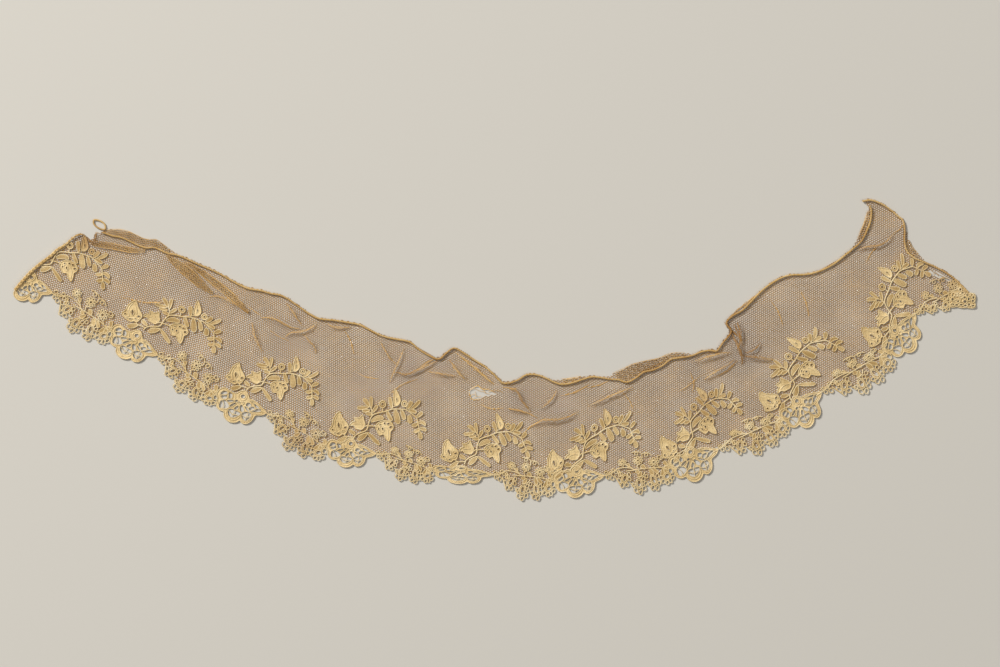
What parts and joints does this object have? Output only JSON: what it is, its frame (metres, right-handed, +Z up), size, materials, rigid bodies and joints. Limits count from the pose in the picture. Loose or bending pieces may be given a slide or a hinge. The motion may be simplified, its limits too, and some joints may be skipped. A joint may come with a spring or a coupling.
{
  "type": "lace collar",
  "caption": "Long curved lace collar laid flat: fine net with applied flower sprays, a scalloped lace border, a narrow neck hem and a thread loop.",
  "frame": {"origin": "on the surface it lies on, under the middle of the collar's outline", "axes": "+X from the left end to the right end, +Y from the outer edge towards the neck edge, +Z up, out of the surface"},
  "size_m": [0.5766, 0.1805, 0.0036],
  "materials": {
    "net": "fine hexagonal cotton net, aged to tan",
    "lace": "dense worked lace in cream thread",
    "hem": "whipped and rolled net with cream thread"
  },
  "bodies": {
    "root": {"net_ground": "net", "spray_1": "lace", "spray_2": "lace", "spray_3": "lace", "spray_4": "lace", "spray_5": "lace", "spray_6": "lace", "spray_7": "lace", "spray_8": "lace", "spray_9": "lace", "border_1": "lace", "border_2": "lace", "border_3": "lace", "border_4": "lace", "border_5": "lace", "border_6": "lace", "border_7": "lace", "border_8": "lace", "border_9": "lace", "neck_hem": "hem", "left_end_hem": "hem", "right_end_hem": "hem", "button_loop": "hem"}
  },
  "joints": []
}
